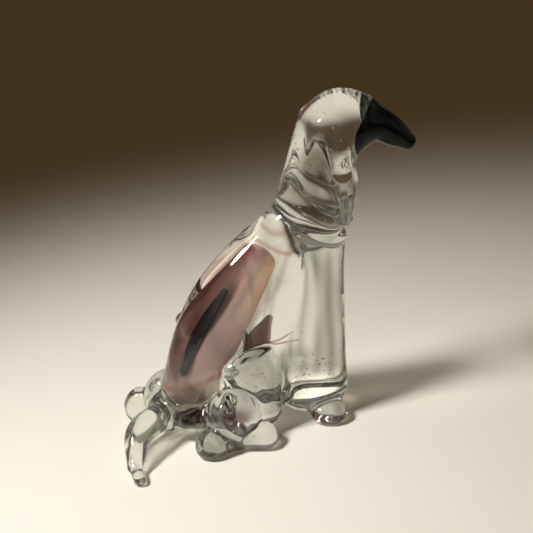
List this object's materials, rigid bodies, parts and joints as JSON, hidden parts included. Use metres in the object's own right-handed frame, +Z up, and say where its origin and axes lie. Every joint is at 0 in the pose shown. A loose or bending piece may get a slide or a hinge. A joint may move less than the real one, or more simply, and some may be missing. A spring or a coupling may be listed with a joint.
{
  "type": "glass dog figurine",
  "caption": "Sitting long-haired hound flameworked in clear glass, with a black glass face and an amethyst core inside its back; a free-standing ornament.",
  "frame": {"origin": "on the floor under the middle of the hound's overall box", "axes": "+X the way the hound faces, +Y its left side, +Z up"},
  "size_m": [0.053, 0.0232, 0.0591],
  "materials": {
    "clear_glass": "fire-polished clear glass",
    "black_glass": "fire-polished black glass",
    "lilac_glass": "transparent lilac glass",
    "purple_glass": "dark amethyst glass"
  },
  "bodies": {
    "root": {"black_muzzle": "black_glass", "skull": "clear_glass", "neck_core": "clear_glass", "mane_tier_1": "clear_glass", "mane_tier_2": "clear_glass", "mane_tier_3": "clear_glass", "mane_tier_4": "clear_glass", "ear_right": "clear_glass", "ear_left": "clear_glass", "seat_gather": "clear_glass", "amethyst_core": "lilac_glass", "amethyst_stringer": "purple_glass", "amethyst_web": "purple_glass", "back_casing": "clear_glass", "chest_column": "clear_glass", "front_paw_right": "clear_glass", "front_paw_left": "clear_glass", "haunch_right": "clear_glass", "haunch_left": "clear_glass", "belly_gather": "clear_glass", "hind_knee_right": "clear_glass", "hind_knee_left": "clear_glass", "hind_foot_right": "clear_glass", "hind_foot_left": "clear_glass", "tail_root": "clear_glass", "tail_rod": "clear_glass", "tail_tip": "clear_glass"}
  },
  "joints": []
}
